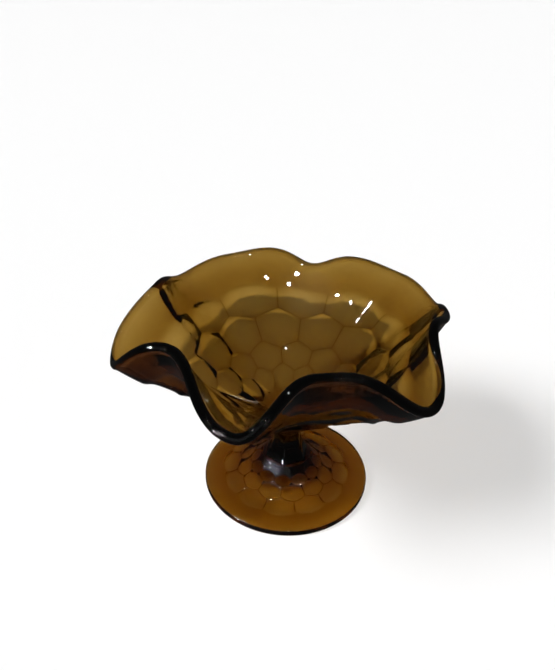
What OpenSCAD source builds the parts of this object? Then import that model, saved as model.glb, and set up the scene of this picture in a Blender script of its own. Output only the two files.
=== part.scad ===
// Footed candy dish in pressed amber-brown glass: a honeycomb bowl with a
// crimped five-lobe rim, a six-sided stem and a round honeycomb foot.
// Millimetres. +Z is up and the dish stands on z = 0, on the axis of the foot.

/* [Bowl] */
// radius of the pad where the bowl grows out of the stem
bowl_base_r = 8; // [6:0.5:12]
// height of the middle of the bowl's floor
bowl_floor_z = 39.5; // [34:0.5:44]
// mean reach of the rim before it is crimped
rim_mean_r = 67.5; // [60:0.5:74]
// mean height of the rim before it is crimped
rim_mean_z = 88.5; // [82:0.5:94]
// how far the conical side bellies outwards
bowl_belly = 1.9; // [0:0.1:4]
// how far the side sags further below the low lobes
lobe_droop = 2.2; // [0:0.1:4]
// wall thickness at the floor
floor_wall = 6; // [4:0.1:6.5]
// wall thickness at the rim
rim_wall = 3.6; // [2.4:0.1:3.7]
// how long the wall keeps the floor's thickness on its way up
wall_fade = 5; // [1:0.5:6]
// radius of the fire-polished bead along the edge
bead_r = 2.1; // [1.9:0.1:2.4]

/* [Crimped rim] */
// crests: plan angle, reach and height of the middle of the bead
crest_1 = [0, 64.5, 95];
crest_2 = [79, 52, 91];
crest_3 = [168, 61, 97.5];
crest_4 = [220, 58, 95];
crest_5 = [279.5, 55.5, 97.5];
// lobes: plan angle, reach and height of the middle of the bead
lobe_1 = [43, 77, 86];
lobe_2 = [115.5, 78.5, 86];
lobe_3 = [194.5, 75.5, 77.5];
lobe_4 = [254.5, 73, 83.5];
lobe_5 = [317, 71, 81.5];
// halfway from each crest to the next lobe: how far the rim swings outwards and upwards
fall_1 = [0.5, -5.5];
fall_2 = [0.5, 4];
fall_3 = [3, -1];
fall_4 = [-1, 0.5];
fall_5 = [-0.5, 6];
// halfway from each lobe to the next crest: how far the rim swings outwards and upwards
climb_1 = [-4, 6];
climb_2 = [0.5, -5.5];
climb_3 = [0, 5];
climb_4 = [-1.5, 4.5];
climb_5 = [-8.5, 9.5];
// share of the side, from the floor, that the crimping leaves alone
crimp_start = 0.09; // [0:0.01:0.3]
// how gently the lobes fade into the bowl
lobe_fade = 1.05; // [1:0.05:2]
// how sharply the crests fade into the bowl
crest_fade = 3.6; // [2:0.1:6]

/* [Bowl honeycomb] */
// cells around the bowl
bowl_cells = 12; // [8:1:16]
// plan angle of the middle of one cell of the top row
bowl_cell_turn = 83; // [0:1:90]
// share of the side, from the floor, at the middle of each row
bowl_rows = [0.7, 0.505, 0.315, 0.18];
// half height of the cells in each row, as a share of the side
bowl_row_half = [0.12, 0.155, 0.12, 0.1];
// depth of a cell at its middle
bowl_cell_depth = 1.9; // [0.5:0.1:2.2]
// 2 for a round-bottomed cell, more for a flatter one with steeper sides
bowl_cell_flatness = 4; // [2:0.5:8]
// share of the side where the plain brim begins
brim_start = 0.82; // [0.77:0.005:0.82]

/* [Stem] */
// corner radius of the stem at its waist
stem_waist_r = 6.9; // [5.5:0.1:8]
// corner radius of the stem where it spreads onto the foot
stem_base_r = 11.2; // [9:0.1:11.4]
// corner radius of the stem under the bowl
stem_top_r = 8.2; // [7:0.1:8.5]
// height of the waist
stem_waist_z = 28; // [24:0.5:32]
// plan angle of one corner
stem_turn = 262; // [240:1:300]

/* [Foot] */
// radius of the round foot
foot_r = 40.8; // [36:0.1:46]
// thickness of the foot's edge
foot_edge = 3.1; // [2.5:0.1:5]
// radius of the foot's rounded corners
foot_corner = 0.8; // [0.4:0.1:1.2]
// height of the foot where the stem starts
foot_top_z = 15; // [12:0.5:18]
// radius of the hollow under the foot
hollow_r = 27.5; // [24:0.5:34]
// height of the middle of the hollow
hollow_z = 5.5; // [4:0.5:8]
// how far from its edge the hollow takes to reach its full height
hollow_ease = 2.5; // [0.5:0.1:4]
// thickness of the glass over the hollow, between the cells, near its edge
foot_wall = 5.8; // [5:0.1:7]
// thickness that the glass over the hollow gains towards the middle
foot_wall_gain = 0.6; // [0:0.1:2]

/* [Foot honeycomb] */
// cells around the foot
foot_cells = 12; // [10:1:18]
// plan angle of the middle of one cell of the outer row
foot_cell_turn = 264; // [180:1:360]
// radius of the middle of each row
foot_rows = [27.3, 20.8, 15.2];
// half width of the cells in each row, along the radius
foot_row_half = [4.8, 4.4, 3.4];
// depth of a cell at its middle
foot_cell_depth = 2.2; // [0.5:0.1:2.5]
// 2 for a round-bottomed cell, more for a flatter one with steeper sides
foot_cell_flatness = 6; // [2:0.5:8]

/* [Hidden] */

glass = [0.44, 0.29, 0.10];
dark_glass = [0.16, 0.10, 0.04];

bowl_sides = 96;
foot_sides = 84;
cell_spread = 0.64; // half width of a dimple, in cells; neighbours meet at 0.5
cell_edge = 4; // how crisply the honeycomb ends where no dimple follows
crests = [crest_1, crest_2, crest_3, crest_4, crest_5];
lobes = [lobe_1, lobe_2, lobe_3, lobe_4, lobe_5];
falls = [fall_1, fall_2, fall_3, fall_4, fall_5];
climbs = [climb_1, climb_2, climb_3, climb_4, climb_5];
swings = [for (i = [0:4]) each [falls[i], climbs[i]]];
knots = [for (i = [0:4]) each [crests[i], lobes[i]]];
lobe_low = 80;
crest_high = 95;

function clamp(x, low, high) = max(low, min(high, x));
function unit(v) = v / norm(v);
function polar(r, a, z) = [r * cos(a), r * sin(a), z];

// ---- honeycomb -------------------------------------------------------------
// Each cell is a shallow elliptical dimple. Dimples overlap their neighbours,
// and the deeper one wins, which leaves straight ridges in a honeycomb.

// distance from the middle of the nearest cell in a row, in cells
function cell_offset(a, cells, turn, row) =
    let (x = (a - turn) * cells / 360 + (row % 2) / 2)
    x - round(x);

function cell_share(a, x, cells, turn, rows, halves, flatness) =
    let (
        deepest = max([
            for (row = [0:len(rows) - 1])
                let (
                    across = cell_offset(a, cells, turn, row) / cell_spread,
                    along = (x - rows[row]) / halves[row]
                )
                1 - pow(min(3, norm([across, along])), flatness)
        ])
    )
    ln(1 + exp(cell_edge * deepest)) / cell_edge;

// ---- crimped rim -----------------------------------------------------------

function knot_angle(i) = knots[i % 10][0] + 360 * floor(i / 10);

// reach and height of the middle of the bead at a plan angle
function rim_at(a) =
    let (
        start = knots[0][0],
        turned = start + (a - start) - 360 * floor((a - start) / 360),
        span = max([for (i = [0:9]) if (knot_angle(i) <= turned) i]),
        from = knots[span],
        to = knots[(span + 1) % 10],
        u = (turned - knot_angle(span)) / (knot_angle(span + 1) - knot_angle(span)),
        rise = (1 - cos(180 * u)) / 2,
        swing = pow(sin(180 * u), 2) * swings[span]
    )
    [
        from[1] + (to[1] - from[1]) * rise + swing[0],
        from[2] + (to[2] - from[2]) * rise + swing[1]
    ];

// middle of the wall before crimping, t = 0 at the floor and 1 at the rim
side_run = [rim_mean_r - bowl_base_r, rim_mean_z - bowl_floor_z];
side_out = [side_run[1], -side_run[0]] / norm(side_run);

function side_at(t, droop) =
    [bowl_base_r, bowl_floor_z] + t * side_run
    + side_out * 27 / 4 * t * (1 - t) * (bowl_belly * (1 - t) + droop * t);

function wall_middle(a, t) =
    let (
        rim = rim_at(a),
        crest_share = clamp((rim[1] - lobe_low) / (crest_high - lobe_low), 0, 1),
        side = side_at(t, lobe_droop * (1 - crest_share)),
        fade = lobe_fade + (crest_fade - lobe_fade) * crest_share,
        reach = pow(max(0, (t - crimp_start) / (1 - crimp_start)), fade)
    )
    polar(
        side[0] + reach * (rim[0] - rim_mean_r),
        a,
        side[1] + reach * (rim[1] - rim_mean_z)
    );

function along_rim(a, t) = unit(wall_middle(a + 0.5, t) - wall_middle(a - 0.5, t));
function up_side(a, t) = unit(wall_middle(a, t + 0.004) - wall_middle(a, t - 0.004));
function outwards(a, t) = unit(cross(along_rim(a, t), up_side(a, t)));

function half_wall(t) = (floor_wall + (rim_wall - floor_wall) * pow(t, wall_fade)) / 2;
function inner_skin(a, t) = wall_middle(a, t) - outwards(a, t) * half_wall(t);
function outer_skin(a, t) =
    let (
        dimple = cell_share(
            a, t, bowl_cells, bowl_cell_turn, bowl_rows, bowl_row_half, bowl_cell_flatness
        )
    )
    wall_middle(a, t) + outwards(a, t) * (half_wall(t) - bowl_cell_depth * dimple);

// plan angles of the bowl's stations, lined up with the cells
bowl_angles = [for (i = [0:bowl_sides - 1]) bowl_cell_turn + i * 360 / bowl_sides];

// ---- solids of stations ----------------------------------------------------
// sections is one closed or open loop of points at each station around the
// axis. Every quad is cut into two triangles along the same diagonal, so that
// neighbouring solids share their facets exactly.

function quad(a, b, c, d, slant) =
    slant ? [[a, b, d], [b, c, d]] : [[a, b, c], [a, c, d]];

function loop_faces(stations, size, closed) = [
    for (j = [0:stations - 1], k = [0:size - (closed ? 1 : 2)])
        let (next = (j + 1) % stations, up = (k + 1) % size)
        each quad(
            j * size + k, next * size + k, next * size + up, j * size + up,
            k == size - 1
        )
];

// a solid closed by flat caps at both ends of its loops
module capped_solid(sections) {
    stations = len(sections);
    size = len(sections[0]);
    polyhedron(
        points = [for (s = sections) each s],
        faces = concat(
            [for (f = loop_faces(stations, size, false)) [f[2], f[1], f[0]]],
            [[for (j = [0:stations - 1]) j * size]],
            [[for (j = [stations - 1:-1:0]) j * size + size - 1]]
        )
    );
}

// a solid whose loops close on themselves, like a ring
module ring_solid(sections, inside_out = false) {
    size = len(sections[0]);
    faces = loop_faces(len(sections), size, true);
    polyhedron(
        points = [for (s = sections) each s],
        faces = [for (f = faces) inside_out ? f : [f[2], f[1], f[0]]]
    );
}

// ---- sub-parts -------------------------------------------------------------

function steps(from, to, count) = [for (i = [0:count]) from + (to - from) * i / count];

module bowl() {
    outer = concat([0], steps(0.05, brim_start, 28));
    inner = steps(brim_start, 0, 12);
    color(glass)
    capped_solid([
        for (a = bowl_angles)
            concat(
                [for (t = outer) outer_skin(a, t)],
                [for (t = inner) inner_skin(a, t)]
            )
    ]);
}

module brim() {
    color(glass)
    ring_solid([
        for (a = bowl_angles)
            concat(
                [for (t = steps(brim_start, 1, 8)) outer_skin(a, t)],
                [for (t = steps(1, brim_start, 8)) inner_skin(a, t)]
            )
    ]);
}

// the bead starts on the end face of the brim and bulges past it on both sides
module rim_bead() {
    half = half_wall(1);
    turn = 180 - asin(half / bead_r);
    color(dark_glass)
    ring_solid([
        for (a = bowl_angles)
            let (
                away = outwards(a, 1),
                forward = up_side(a, 1),
                middle = wall_middle(a, 1) - forward * bead_r * cos(turn)
            )
            concat(
                [outer_skin(a, 1), inner_skin(a, 1)],
                [
                    for (phi = steps(-turn, turn, 9))
                        if (abs(phi) < turn - 0.1)
                            middle + bead_r * (forward * cos(phi) + away * sin(phi))
                ]
            )
    ], inside_out = true);
}

stem_top_z = outer_skin(0, 0)[2];

// corner radius of the stem at a height: it spreads from the waist both ways
function stem_r_at(z) =
    z < stem_waist_z
        ? stem_waist_r + (stem_base_r - stem_waist_r)
            * pow((stem_waist_z - z) / (stem_waist_z - foot_top_z), 2.2)
        : stem_waist_r + (stem_top_r - stem_waist_r)
            * pow((z - stem_waist_z) / (stem_top_z - stem_waist_z), 2);

module stem() {
    levels = steps(foot_top_z, stem_top_z, 14);
    color(dark_glass)
    capped_solid([
        for (i = [0:5])
            [for (z = levels) polar(stem_r_at(z), stem_turn + i * 60, z)]
    ]);
}

// height of the foot's plain upper surface at a radius
foot_flat_r = foot_r - foot_corner;
foot_pad_r = 11.6;

function foot_z_at(r) =
    foot_edge + (foot_top_z - foot_edge)
        * pow(clamp((foot_flat_r - r) / (foot_flat_r - foot_pad_r), 0, 1), 2);

// height of the hollow under the foot at a radius
function hollow_z_at(r) =
    min(
        foot_z_at(r) - foot_wall - foot_wall_gain * (1 - r / hollow_r),
        hollow_z - 0.004 * r * r
    ) * (1 - exp((r - hollow_r) / hollow_ease));

function foot_skin(a, r) =
    let (
        dimple = cell_share(
            a, r, foot_cells, foot_cell_turn, foot_rows, foot_row_half, foot_cell_flatness
        )
    )
    polar(r, a, foot_z_at(r) - foot_cell_depth * dimple);

// the ring that the foot stands on is cut flat from a slightly deeper solid
module foot() {
    edge = [
        for (turn = [[foot_corner, -90, 0], [foot_edge - foot_corner, 0, 90]])
            for (phi = steps(turn[1], turn[2], 4))
                [foot_flat_r + foot_corner * cos(phi), turn[0] + foot_corner * sin(phi)]
    ];
    hollow = concat(
        steps(4.5, hollow_r - 3, 10),
        [hollow_r - 2, hollow_r - 1.2, hollow_r - 0.6, hollow_r - 0.2]
    );
    color(glass)
    difference() {
        capped_solid([
            for (i = [0:foot_sides - 1])
                let (a = foot_cell_turn + i * 360 / foot_sides)
                concat(
                    [for (r = hollow) polar(r, a, hollow_z_at(r))],
                    [polar(hollow_r, a, -1), polar(edge[0][0], a, -1)],
                    [for (p = edge) polar(p[0], a, p[1])],
                    [for (r = steps(foot_flat_r - 3, foot_pad_r, 24)) foot_skin(a, r)]
                )
        ]);
        translate([0, 0, -5]) cylinder(h = 5, r = foot_r + 5, $fn = 96);
    }
}

foot();
stem();
bowl();
brim();
rim_bead();
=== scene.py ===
"""Footed candy dish in pressed amber-brown glass, on a plain pale floor.

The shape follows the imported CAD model, with more stations and softer ridges. The glass is clear,
and its colour comes from light that is absorbed along its way through it.
"""

import math

import bpy
import numpy as np
from mathutils import Matrix, Vector


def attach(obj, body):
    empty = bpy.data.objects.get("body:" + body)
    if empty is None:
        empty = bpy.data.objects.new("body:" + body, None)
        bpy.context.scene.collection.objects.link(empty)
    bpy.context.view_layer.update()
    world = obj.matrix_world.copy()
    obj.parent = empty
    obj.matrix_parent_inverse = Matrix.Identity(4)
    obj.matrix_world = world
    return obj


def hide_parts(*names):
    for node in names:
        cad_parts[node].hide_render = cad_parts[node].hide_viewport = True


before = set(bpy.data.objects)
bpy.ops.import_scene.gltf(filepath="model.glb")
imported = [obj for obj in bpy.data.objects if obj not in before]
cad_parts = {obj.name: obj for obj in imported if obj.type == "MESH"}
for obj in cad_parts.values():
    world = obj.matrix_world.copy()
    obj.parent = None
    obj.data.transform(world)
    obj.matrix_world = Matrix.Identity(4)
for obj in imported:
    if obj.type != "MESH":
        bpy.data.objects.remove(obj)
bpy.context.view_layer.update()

MM = 0.001

# ---- dimensions in millimetres and degrees, as in the CAD model ----------------------------
BOWL_BASE_R, BOWL_FLOOR_Z = 8.0, 39.5
RIM_MEAN_R, RIM_MEAN_Z = 67.5, 88.5
BOWL_BELLY, LOBE_DROOP = 1.9, 2.2
FLOOR_WALL, RIM_WALL, WALL_FADE = 6.0, 3.6, 5.0
BEAD_R = 2.1
# crests and lobes in turn: plan angle, reach and height
CRESTS = [(0, 64.5, 95), (79, 52, 91), (168, 61, 97.5), (220, 58, 95), (279.5, 55.5, 97.5)]
LOBES = [(43, 77, 86), (115.5, 78.5, 86), (194.5, 75.5, 77.5), (254.5, 73, 83.5), (317, 71, 81.5)]
# swing outwards and upwards halfway along each span, from a crest to a lobe and on to a crest
SWINGS = [
    (0.5, -5.5), (-4, 6), (0.5, 4), (0.5, -5.5), (3, -1),
    (0, 5), (-1, 0.5), (-1.5, 4.5), (-0.5, 6), (-8.5, 9.5),
]
CRIMP_START, LOBE_FADE, CREST_FADE = 0.09, 1.05, 3.6
LOBE_LOW, CREST_HIGH = 80.0, 95.0
BOWL_CELLS, BOWL_CELL_TURN = 12, 83
BOWL_ROWS, BOWL_ROW_HALF = [0.7, 0.505, 0.315, 0.18], [0.12, 0.155, 0.12, 0.1]
BOWL_CELL_DEPTH, BOWL_CELL_FLATNESS = 1.9, 4.0
STEM_WAIST_R, STEM_BASE_R, STEM_TOP_R = 6.9, 11.2, 8.2
STEM_WAIST_Z, STEM_TURN = 28.0, 262
FOOT_R, FOOT_EDGE, FOOT_CORNER, FOOT_TOP_Z = 40.8, 3.1, 0.8, 15.0
HOLLOW_R, HOLLOW_Z, HOLLOW_EASE = 27.5, 5.5, 2.5
FOOT_WALL, FOOT_WALL_GAIN = 5.8, 0.6
FOOT_CELLS, FOOT_CELL_TURN = 12, 264
FOOT_ROWS, FOOT_ROW_HALF = [27.3, 20.8, 15.2], [4.8, 4.4, 3.4]
FOOT_CELL_DEPTH, FOOT_CELL_FLATNESS = 2.2, 6.0
CELL_SPREAD, RIDGE_CRISP, EDGE_CRISP = 0.64, 40.0, 4.0

FOOT_PAD_R = 11.6  # the flat top of the foot, under the stem
HOLLOW_FALL = 0.004  # how fast the hollow gets lower outwards, per square of the radius
BOWL_TOP_T = 0.985  # where the two skins of the bowl end and the bead starts
FLOOR_T, FLOOR_SLOPE = 0.12, 0.82  # where the rounded floor of the bowl meets its wall, and how steeply
CORNER_CRISP = 60  # how crisp the corners of the stem are

SEAM = 0.05  # how deep one piece of glass reaches into the next

STATIONS = 504  # points in each ring
ANGLES = np.arange(STATIONS) * 360.0 / STATIONS


def polar(reach, angle, height):
    a = np.radians(angle)
    return np.stack([reach * np.cos(a), reach * np.sin(a), height + 0 * reach], axis=-1)


def unit(v):
    return v / np.linalg.norm(v, axis=-1, keepdims=True)


# ---- honeycomb -----------------------------------------------------------------------------
def cell_shares(angle, x, cells, turn, rows, halves, flatness):
    """The share of every dimple that could reach here, 1 at its middle and 0 at its edge."""
    shares = []
    for row, (middle, half) in enumerate(zip(rows, halves)):
        across = (angle - turn) * cells / 360 + (row % 2) / 2
        across = across - np.round(across)
        for shift in (-1, 0, 1):
            away = np.hypot((across + shift) / CELL_SPREAD, (x - middle) / half)
            shares.append(1 - np.minimum(away, 3) ** flatness)
    return np.array(shares)


def dimple_share(shares):
    """How deep the honeycomb is, 0 to 1. Neighbouring dimples meet in narrow ridges."""
    deepest = np.log(np.exp(RIDGE_CRISP * shares).sum(axis=0)) / RIDGE_CRISP
    return np.log(1 + np.exp(EDGE_CRISP * deepest)) / EDGE_CRISP


def ridge_share(shares, width):
    """1 along the ridges where two dimples meet, 0 elsewhere."""
    ranked = np.sort(shares, axis=0)
    line = np.exp(-(((ranked[-1] - ranked[-2]) / width) ** 2))
    return line * np.clip(ranked[-1] / 0.2, 0, 1)


# ---- crimped rim ---------------------------------------------------------------------------
def rim_at(angle):
    knots = [k for pair in zip(CRESTS, LOBES) for k in pair]
    starts = np.array([k[0] for k in knots] + [knots[0][0] + 360.0])
    reach = np.array([k[1] for k in knots] + [knots[0][1]])
    height = np.array([k[2] for k in knots] + [knots[0][2]])
    turned = starts[0] + np.mod(angle - starts[0], 360)
    span = np.clip(np.searchsorted(starts, turned, side="right") - 1, 0, 9)
    u = (turned - starts[span]) / (starts[span + 1] - starts[span])
    rise = (1 - np.cos(np.pi * u)) / 2
    swing = np.sin(np.pi * u) ** 2
    flank = np.array(SWINGS)[span]
    return (
        reach[span] + (reach[span + 1] - reach[span]) * rise + flank[..., 0] * swing,
        height[span] + (height[span + 1] - height[span]) * rise + flank[..., 1] * swing,
    )


def wall_middle(angle, t):
    """Middle of the bowl's wall, t = 0 at the floor and 1 at the rim."""
    run = np.array([RIM_MEAN_R - BOWL_BASE_R, RIM_MEAN_Z - BOWL_FLOOR_Z])
    out = np.array([run[1], -run[0]]) / np.hypot(*run)
    rim_r, rim_z = rim_at(angle)
    crest = np.clip((rim_z - LOBE_LOW) / (CREST_HIGH - LOBE_LOW), 0, 1)
    belly = BOWL_BELLY * 27 / 4 * t * (1 - t) ** 2
    belly = belly + LOBE_DROOP * (1 - crest) * 27 / 4 * t**2 * (1 - t)
    side_r = BOWL_BASE_R + t * run[0] + out[0] * belly
    side_z = BOWL_FLOOR_Z + t * run[1] + out[1] * belly
    fade = LOBE_FADE + (CREST_FADE - LOBE_FADE) * crest
    share = np.maximum(0, (t - CRIMP_START) / (1 - CRIMP_START)) ** fade
    return polar(
        side_r + share * (rim_r - RIM_MEAN_R), angle, side_z + share * (rim_z - RIM_MEAN_Z)
    )


def directions(angle, t):
    along = unit(wall_middle(angle + 0.5, t) - wall_middle(angle - 0.5, t))
    up = unit(wall_middle(angle, t + 0.004) - wall_middle(angle, t - 0.004))
    return up, unit(np.cross(along, up))


def half_wall(t):
    return (FLOOR_WALL + (RIM_WALL - FLOOR_WALL) * t**WALL_FADE) / 2


def inner_ring(t):
    _, away = directions(ANGLES, t)
    return wall_middle(ANGLES, t) - away * half_wall(t)


def bowl_shares(t):
    return cell_shares(
        ANGLES, t, BOWL_CELLS, BOWL_CELL_TURN, BOWL_ROWS, BOWL_ROW_HALF, BOWL_CELL_FLATNESS
    )


def outer_ring(t):
    _, away = directions(ANGLES, t)
    dimple = dimple_share(bowl_shares(t))
    return wall_middle(ANGLES, t) + away * (half_wall(t) - BOWL_CELL_DEPTH * dimple)[..., None]


def bead_rings(count):
    """Round the edge, from the outer skin over the rim to the inner skin."""
    up, away = directions(ANGLES, 1.0)
    turn = math.pi - math.asin(half_wall(1) / BEAD_R)
    middle = wall_middle(ANGLES, 1.0) - up * BEAD_R * math.cos(turn)
    return [
        middle + BEAD_R * (up * math.cos(phi) + away * math.sin(phi))
        for phi in np.linspace(turn, -turn, count)
    ]


# ---- rings of the whole dish, from the middle of the bowl's floor outwards and round --------
def bowl_inside():
    start = inner_ring(FLOOR_T)
    edge_r = np.hypot(start[:, 0], start[:, 1])
    rings = []
    for share in np.linspace(0.1, 0.95, 8):
        drop = FLOOR_SLOPE * edge_r / 2 * (1 - share**2)
        rings.append(polar(edge_r * share, ANGLES, start[:, 2] - drop))
    return rings + [inner_ring(t) for t in np.linspace(FLOOR_T, BOWL_TOP_T, 26)]


OUTSIDE = np.linspace(BOWL_TOP_T, 0, 148)


def hexagon(corner_r):
    """Radius of a six-sided section at each station, with its corners eased."""
    total = 0 * ANGLES
    for k in range(6):
        c = np.cos(np.radians(ANGLES - STEM_TURN - 30 - 60 * k))
        total = total + np.maximum(c, 0) ** CORNER_CRISP
    return corner_r * math.cos(math.radians(30)) / total ** (1 / CORNER_CRISP)


def stem_r_at(z, top_z):
    if z < STEM_WAIST_Z:
        share = (STEM_WAIST_Z - z) / (STEM_WAIST_Z - FOOT_TOP_Z)
        return STEM_WAIST_R + (STEM_BASE_R - STEM_WAIST_R) * share**2.2
    share = (z - STEM_WAIST_Z) / (top_z - STEM_WAIST_Z)
    return STEM_WAIST_R + (STEM_TOP_R - STEM_WAIST_R) * share**2


def stem_rings(top_z):
    levels = np.linspace(top_z, FOOT_TOP_Z - SEAM, 40)
    return [polar(hexagon(stem_r_at(z, top_z)), ANGLES, z) for z in levels]


FOOT_FLAT_R = FOOT_R - FOOT_CORNER


def foot_z_at(r):
    share = np.clip((FOOT_FLAT_R - r) / (FOOT_FLAT_R - FOOT_PAD_R), 0, 1)
    return FOOT_EDGE + (FOOT_TOP_Z - FOOT_EDGE) * share**2


FOOT_TOP = np.linspace(FOOT_PAD_R, FOOT_FLAT_R, 100)[:-1]
# inwards from the standing ring, close together where the hollow is steep
HOLLOW = HOLLOW_R - np.concatenate([[0.1, 0.2, 0.35, 0.6, 0.9], np.linspace(1.3, 26, 50)])


def foot_shares(r):
    return cell_shares(
        ANGLES, r, FOOT_CELLS, FOOT_CELL_TURN, FOOT_ROWS, FOOT_ROW_HALF, FOOT_CELL_FLATNESS
    )


def level_ring(r, z):
    return polar(r + 0 * ANGLES, ANGLES, z)


def hollow_z_at(r):
    wall = FOOT_WALL + FOOT_WALL_GAIN * (1 - r / HOLLOW_R)
    z = min(foot_z_at(r) - wall, HOLLOW_Z - HOLLOW_FALL * r**2)
    return max(0, z * (1 - math.exp((r - HOLLOW_R) / HOLLOW_EASE)))


def foot_rings():
    """Over the top of the foot, round its edge and back under it."""
    rings = [
        level_ring(r, foot_z_at(r) - FOOT_CELL_DEPTH * dimple_share(foot_shares(r)))
        for r in FOOT_TOP
    ]
    for middle, arc in ((FOOT_EDGE - FOOT_CORNER, (90, 0)), (FOOT_CORNER, (0, -90))):
        for phi in np.radians(np.linspace(*arc, 9)):
            r = FOOT_FLAT_R + FOOT_CORNER * math.cos(phi)
            rings.append(level_ring(r, middle + FOOT_CORNER * math.sin(phi)))
    rings.append(level_ring(HOLLOW_R, 0.0))
    return rings + [level_ring(r, hollow_z_at(r)) for r in HOLLOW]


# ---- meshes --------------------------------------------------------------------------------
def closed_mesh(name, rings, first_pole, last_pole, ridges):
    """A closed mesh through rings of points in millimetres, with a pole at each end.

    ridges holds the ridge share of some rings, by the number of the ring.
    """
    points = np.concatenate([np.array(rings).reshape(-1, 3), [first_pole, last_pole]]) * MM
    count = len(rings)
    j = np.arange(STATIONS)
    after = (j + 1) % STATIONS
    faces = []
    for i in range(count - 1):
        a, b = i * STATIONS, (i + 1) * STATIONS
        faces += np.stack([a + j, b + j, b + after, a + after], axis=1).tolist()
    tip = count * STATIONS
    faces += np.stack([j, after, j * 0 + tip], axis=1).tolist()
    last = (count - 1) * STATIONS
    faces += np.stack([last + after, last + j, j * 0 + tip + 1], axis=1).tolist()
    mesh = bpy.data.meshes.new(name)
    mesh.from_pydata(points.tolist(), [], faces)
    mesh.validate()
    mesh.polygons.foreach_set("use_smooth", [True] * len(mesh.polygons))
    marks = np.zeros((count, STATIONS))
    for ring, mark in ridges.items():
        marks[ring] = mark
    layer = mesh.attributes.new("ridge", "FLOAT", "POINT")
    layer.data.foreach_set("value", np.concatenate([marks.ravel(), [0, 0]]))
    mesh.update()
    piece = bpy.data.objects.new(name, mesh)
    bpy.context.scene.collection.objects.link(piece)
    return piece


# ---- glass ---------------------------------------------------------------------------------
def add_node(tree, kind, inputs=None, **settings):
    """A shader node with its settings and the values of its inputs."""
    node = tree.nodes.new(kind)
    for name, value in settings.items():
        setattr(node, name, value)
    for name, value in (inputs or {}).items():
        node.inputs[name].default_value = value
    return node


def ripples_and_seeds(tree):
    """The surface of pressed glass: faint ripples, and a few specks that stand out a little."""
    place = add_node(tree, "ShaderNodeTexCoord")
    ripple = add_node(tree, "ShaderNodeTexNoise", {"Scale": 160.0, "Detail": 1.0})
    tree.links.new(place.outputs["Object"], ripple.inputs["Vector"])
    wave = add_node(tree, "ShaderNodeBump", {"Distance": 0.00012, "Strength": 1.0})
    tree.links.new(ripple.outputs["Fac"], wave.inputs["Height"])
    seeds = add_node(tree, "ShaderNodeTexVoronoi", {"Scale": 110.0})
    tree.links.new(place.outputs["Object"], seeds.inputs["Vector"])
    dome = add_node(
        tree, "ShaderNodeMapRange",
        {"From Min": 0.0, "From Max": 0.1, "To Min": 1.0, "To Max": 0.0},
        interpolation_type="SMOOTHSTEP",
    )
    tree.links.new(seeds.outputs["Distance"], dome.inputs["Value"])
    pimple = add_node(tree, "ShaderNodeBump", {"Distance": 0.00008, "Strength": 1.0})
    tree.links.new(dome.outputs["Result"], pimple.inputs["Height"])
    tree.links.new(wave.outputs["Normal"], pimple.inputs["Normal"])
    return pimple.outputs["Normal"]


def glass(name, density, colour, ridge_painted_shade):
    """Glass that absorbs light. Its ridges get painted shade, darker where ridge_painted_shade is below
    1.
    """
    material = bpy.data.materials.new(name)
    material.use_nodes = True
    tree = material.node_tree
    tree.nodes.clear()
    output = add_node(tree, "ShaderNodeOutputMaterial")
    shader = add_node(
        tree, "ShaderNodeBsdfPrincipled",
        {"Base Color": (1, 1, 1, 1), "Roughness": 0.0, "IOR": 1.5, "Transmission Weight": 1.0},
    )
    tree.links.new(shader.outputs["BSDF"], output.inputs["Surface"])
    # painted shade: a darker base colour along the ridges stands in for the dark lines that light bent
    # at the ridges makes
    if ridge_painted_shade < 1:
        mark = add_node(tree, "ShaderNodeAttribute", attribute_name="ridge")
        painted_ridge_shade = add_node(tree, "ShaderNodeMapRange", {"To Min": 1.0, "To Max": ridge_painted_shade})
        tree.links.new(mark.outputs["Fac"], painted_ridge_shade.inputs["Value"])
        tree.links.new(painted_ridge_shade.outputs["Result"], shader.inputs["Base Color"])
    tree.links.new(ripples_and_seeds(tree), shader.inputs["Normal"])
    absorb = add_node(tree, "ShaderNodeVolumeAbsorption", {"Color": colour, "Density": density})
    tree.links.new(absorb.outputs["Volume"], output.inputs["Volume"])
    return material


def glass_piece(name, rings, poles, ridges, finish, *nodes):
    """A piece of glass in place of these CAD nodes. finish is density, colour and the painted shade on
    the ridges.
    """
    piece = closed_mesh(name, rings, *poles, ridges)
    piece.data.materials.append(glass(name, *finish))
    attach(piece, "root")
    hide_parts(*nodes)


AMBER = (0.683, 0.542, 0.1, 1)
FOOT_AMBER = (0.724, 0.562, 0.12, 1)

inside = bowl_inside()
edge = bead_rings(14)[::-1]
outside = [outer_ring(t) for t in OUTSIDE]
before = len(inside) + len(edge)
bowl_foot_z = outside[-1][:, 2].mean()
# the last number of each finish is the painted shade on the ridges, and 1 leaves them clear
glass_piece(
    "bowl_glass", inside + edge + outside,
    ((0, 0, inside[0][:, 2].mean()), (0, 0, bowl_foot_z)),
    {before + i: ridge_share(bowl_shares(t), 0.08) for i, t in enumerate(OUTSIDE)},
    (1000.0, AMBER, 0.45), "bowl", "brim", "rim_bead",
)
stem_top_z = bowl_foot_z + SEAM
glass_piece(
    "stem_glass", stem_rings(stem_top_z), ((0, 0, stem_top_z), (0, 0, FOOT_TOP_Z - SEAM)), {},
    (1000.0, AMBER, 1.0), "stem",
)
glass_piece(
    "foot_glass", foot_rings(), ((0, 0, FOOT_TOP_Z), (0, 0, HOLLOW_Z)),
    {i: ridge_share(foot_shares(r), 0.15) for i, r in enumerate(FOOT_TOP)},
    (800.0, FOOT_AMBER, 0.12), "foot",
)

# ---- floor and backdrop --------------------------------------------------------------------
def plain(name, inputs):
    material = bpy.data.materials.new(name)
    material.use_nodes = True
    for socket, value in inputs.items():
        material.node_tree.nodes["Principled BSDF"].inputs[socket].default_value = value
    return material


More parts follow.
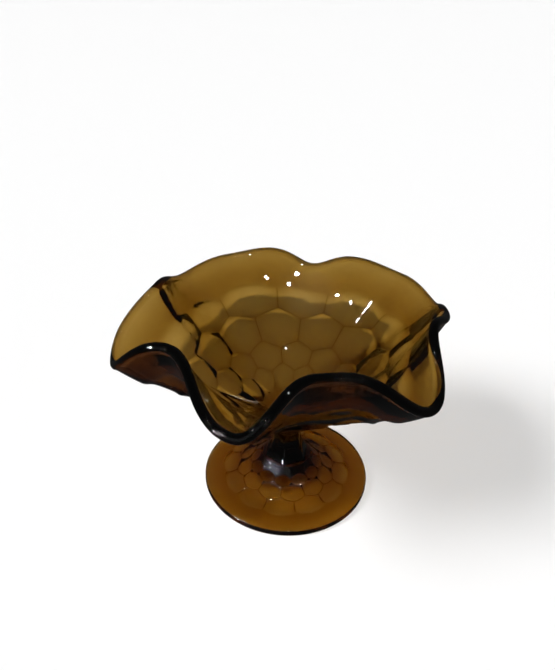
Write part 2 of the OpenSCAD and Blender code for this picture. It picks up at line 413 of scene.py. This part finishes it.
FLOOR_HALF, FLOOR_GAP = 14.0, 0.0002
bpy.ops.mesh.primitive_plane_add(size=2 * FLOOR_HALF, location=(0, 0, -FLOOR_GAP))
floor = bpy.context.object
floor.name = "floor"
floor.data.materials.append(plain("pale_paper", {
    "Base Color": (0.85, 0.85, 0.85, 1), "Roughness": 0.9, "Specular IOR Level": 0.1,
}))
floor.visible_glossy = False

# an even pale room, seen directly and through the glass, which casts no light or reflection
bpy.ops.mesh.primitive_uv_sphere_add(segments=64, ring_count=32, radius=10.5)
backdrop = bpy.context.object
backdrop.name = "backdrop"
backdrop.data.materials.append(plain("pale_backdrop", {
    "Base Color": (0, 0, 0, 1), "Specular IOR Level": 0.0,
    "Emission Color": (1, 1, 1, 1), "Emission Strength": 0.8,
}))
backdrop.visible_diffuse = False
backdrop.visible_glossy = False
backdrop.visible_shadow = False

# ---- light ---------------------------------------------------------------------------------
scene = bpy.context.scene


def sun(name, azimuth, elevation, strength, spread):
    """A soft light from that azimuth, 0 from -Y and 90 from +X, with an apparent width."""
    lamp = bpy.data.lights.new(name, "SUN")
    lamp.energy = strength
    lamp.angle = math.radians(spread)
    holder = bpy.data.objects.new(name, lamp)
    a, e = math.radians(azimuth), math.radians(elevation)
    towards = Vector((math.sin(a) * math.cos(e), -math.cos(a) * math.cos(e), math.sin(e)))
    holder.rotation_mode = "QUATERNION"
    holder.rotation_quaternion = towards.to_track_quat("Z", "Y")
    holder.location = towards * 2
    scene.collection.objects.link(holder)
    return holder


# the key light is narrow, and the bowl's shadow from it shows through the far wall
sun("key", -5, 36, 3.85, 2.5)
# the side light is wide and casts the soft shadow on the floor
side = sun("side", -72, 42, 2.15, 24)
side.visible_glossy = False

# small lamps that only show as sparkles on the glass: azimuth, elevation, apparent width
SPARKLES = [(-58, 10, 7), (-50, 31, 4), (-71, 45, 2), (22, 46, 2), (12, 66, 3.5)]
SPARKLE_BRIGHTNESS = 0.055
for azimuth, elevation, spread in SPARKLES:
    glint = sun("glint", azimuth, elevation, SPARKLE_BRIGHTNESS * spread**2, spread)
    glint.visible_diffuse = False
    glint.visible_transmission = False

# a dim room with a soft pale window at the front left, which the glass reflects
world = bpy.data.worlds.new("studio")
world.use_nodes = True
room = world.node_tree
background = room.nodes["Background"]
background.inputs["Color"].default_value = (1, 1, 1, 1)
direction = add_node(room, "ShaderNodeTexCoord")
facing = add_node(
    room, "ShaderNodeVectorMath", {1: (-0.485, -0.84, 0.242)}, operation="DOT_PRODUCT"
)
room.links.new(direction.outputs["Generated"], facing.inputs[0])
window = add_node(
    room, "ShaderNodeMapRange",
    {"From Min": 0.79, "From Max": 0.97, "To Min": 0.04, "To Max": 0.25},
)
room.links.new(facing.outputs["Value"], window.inputs["Value"])
room.links.new(window.outputs["Result"], background.inputs["Strength"])
world.cycles_visibility.diffuse = False
scene.world = world
scene.view_settings.view_transform = "Standard"

# ---- camera --------------------------------------------------------------------------------
VIEW_UP, VIEW_ROLL, VIEW_AWAY = 31.49, 1.79, 265.2
AIM = Vector((-6.34, 0, 82.49)) * MM
FOCAL_SHARE = 600 / 670

e, roll = math.radians(VIEW_UP), math.radians(VIEW_ROLL)
back = Vector((0, -math.cos(e), math.sin(e)))
level, tall = Vector((1, 0, 0)), Vector((0, math.sin(e), math.cos(e)))
side_x = level * math.cos(roll) + tall * math.sin(roll)
side_y = -level * math.sin(roll) + tall * math.cos(roll)
camera = bpy.data.objects.new("camera", bpy.data.cameras.new("camera"))
camera.data.sensor_width = 36
camera.data.lens = 36 * FOCAL_SHARE
camera.data.clip_start, camera.data.clip_end = 0.01, 50
camera.matrix_world = Matrix.Translation(AIM + back * VIEW_AWAY * MM) @ Matrix(
    (side_x, side_y, back)
).transposed().to_4x4()
scene.collection.objects.link(camera)
scene.camera = camera
